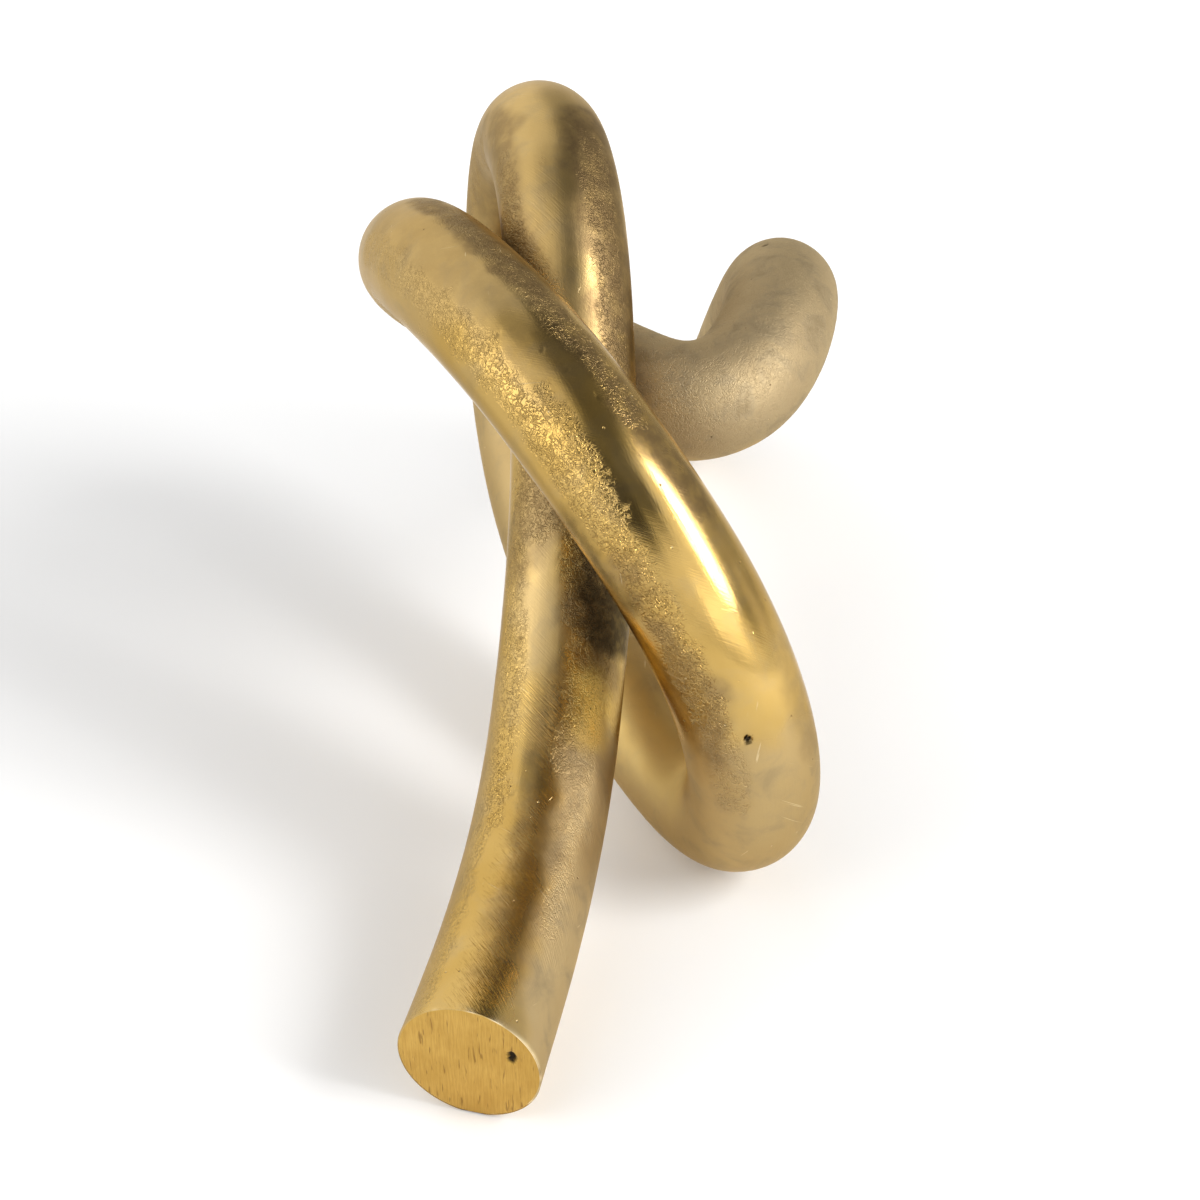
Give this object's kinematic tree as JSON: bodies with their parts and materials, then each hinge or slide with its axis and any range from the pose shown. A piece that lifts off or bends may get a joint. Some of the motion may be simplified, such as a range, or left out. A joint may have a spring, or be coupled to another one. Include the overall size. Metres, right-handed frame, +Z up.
{
  "type": "knot sculpture",
  "caption": "Free-standing metal sculpture: a thick round brass bar tied in an open overhand knot, with flat cut ends and three small ground flats to stand on",
  "frame": {"origin": "on the table, under the middle of the footprint box; the three ground flats lie in z = 0", "axes": "+Y runs along the sculpture from the near cut end to the far cut end, +X to the right of someone who looks along +Y, +Z up"},
  "size_m": [0.1284, 0.3519, 0.1617],
  "materials": {
    "cast_brass": "cast, ground and hand polished, with patches of cast skin left",
    "dowel_brass": "turned"
  },
  "bodies": {
    "root": {"near_leg": "cast_brass", "top_loop": "cast_brass", "lower_loop": "cast_brass", "front_strand": "cast_brass", "side_loop": "cast_brass", "far_bend": "cast_brass", "far_leg": "cast_brass", "dowel_near_leg_to_top_loop": "dowel_brass", "dowel_top_loop_to_lower_loop": "dowel_brass", "dowel_lower_loop_to_front_strand": "dowel_brass", "dowel_front_strand_to_side_loop": "dowel_brass", "dowel_side_loop_to_far_bend": "dowel_brass", "dowel_far_bend_to_far_leg": "dowel_brass"}
  },
  "joints": []
}
